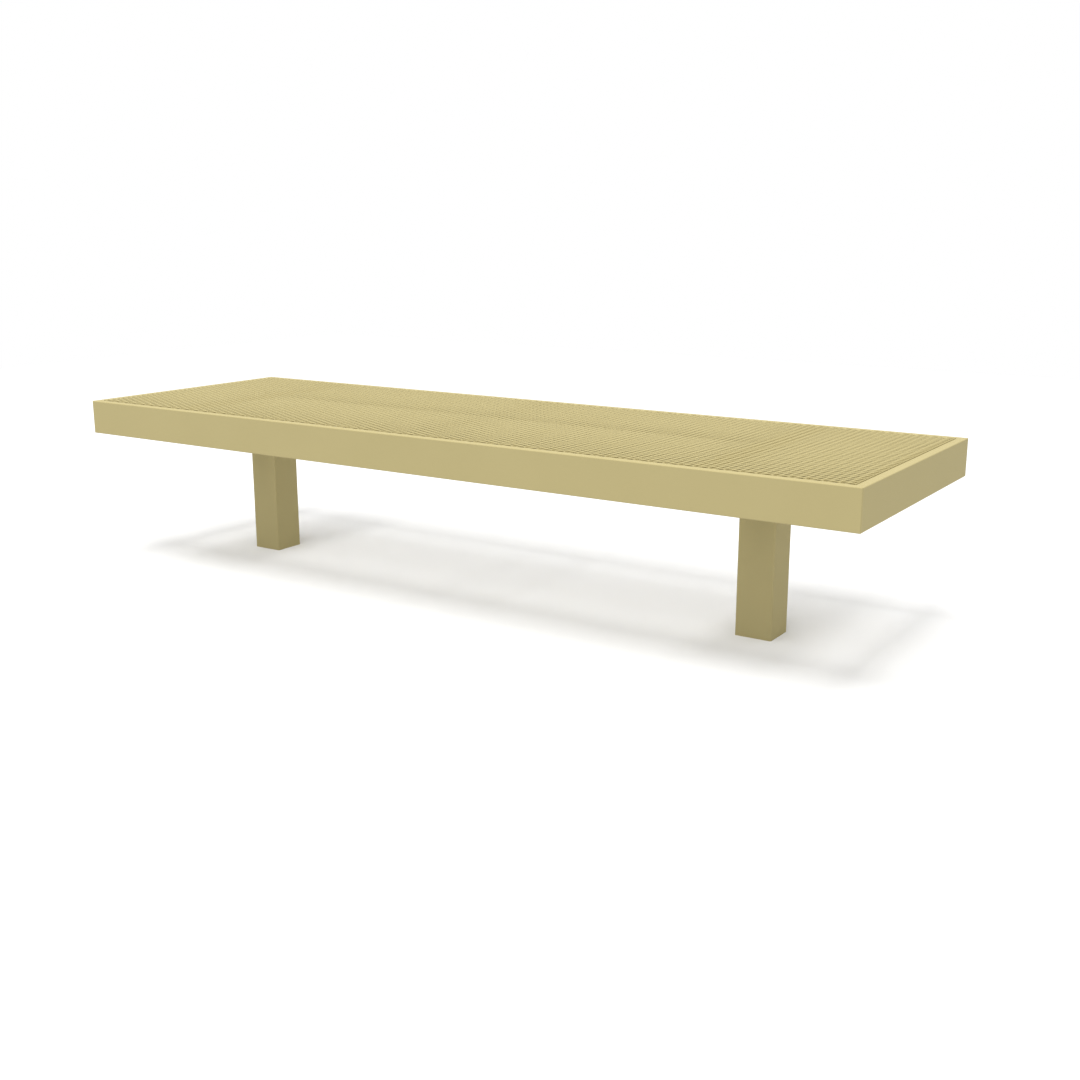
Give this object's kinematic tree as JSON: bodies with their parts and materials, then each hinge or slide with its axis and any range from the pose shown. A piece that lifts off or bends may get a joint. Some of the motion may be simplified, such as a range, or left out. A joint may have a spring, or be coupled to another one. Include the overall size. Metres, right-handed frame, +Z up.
{
  "type": "backless bench",
  "caption": "Backless street bench: expanded-metal seat in a flat-sided tube frame, fixed on square posts with hidden ground anchors.",
  "frame": {"origin": "on the ground under the middle of the seat, midway between the two posts", "axes": "+X along the bench to its right end, +Y across the seat to its rear, +Z up"},
  "size_m": [1.98, 0.62, 0.394],
  "materials": {
    "powder_coat": "satin powder coat, sand green, on every steel part",
    "zinc_fasteners": "zinc plated, dull"
  },
  "bodies": {
    "root": {"side_rail_front": "powder_coat", "side_rail_rear": "powder_coat", "end_rail_left": "powder_coat", "end_rail_right": "powder_coat", "deck_sheet": "powder_coat", "ledge_front": "powder_coat", "ledge_rear": "powder_coat", "ledge_left": "powder_coat", "ledge_right": "powder_coat", "cross_bearer_left": "powder_coat", "cross_bar_middle": "powder_coat", "cross_bearer_right": "powder_coat", "spine_left": "powder_coat", "spine_right": "powder_coat", "head_plate_left": "powder_coat", "head_plate_right": "powder_coat", "post_left": "powder_coat", "post_right": "powder_coat", "base_plate_left": "powder_coat", "base_plate_right": "powder_coat", "seat_bolts_left": "zinc_fasteners", "seat_bolts_right": "zinc_fasteners", "washers_left": "zinc_fasteners", "washers_right": "zinc_fasteners", "insert_nuts_left": "zinc_fasteners", "insert_nuts_right": "zinc_fasteners"}
  },
  "joints": []
}
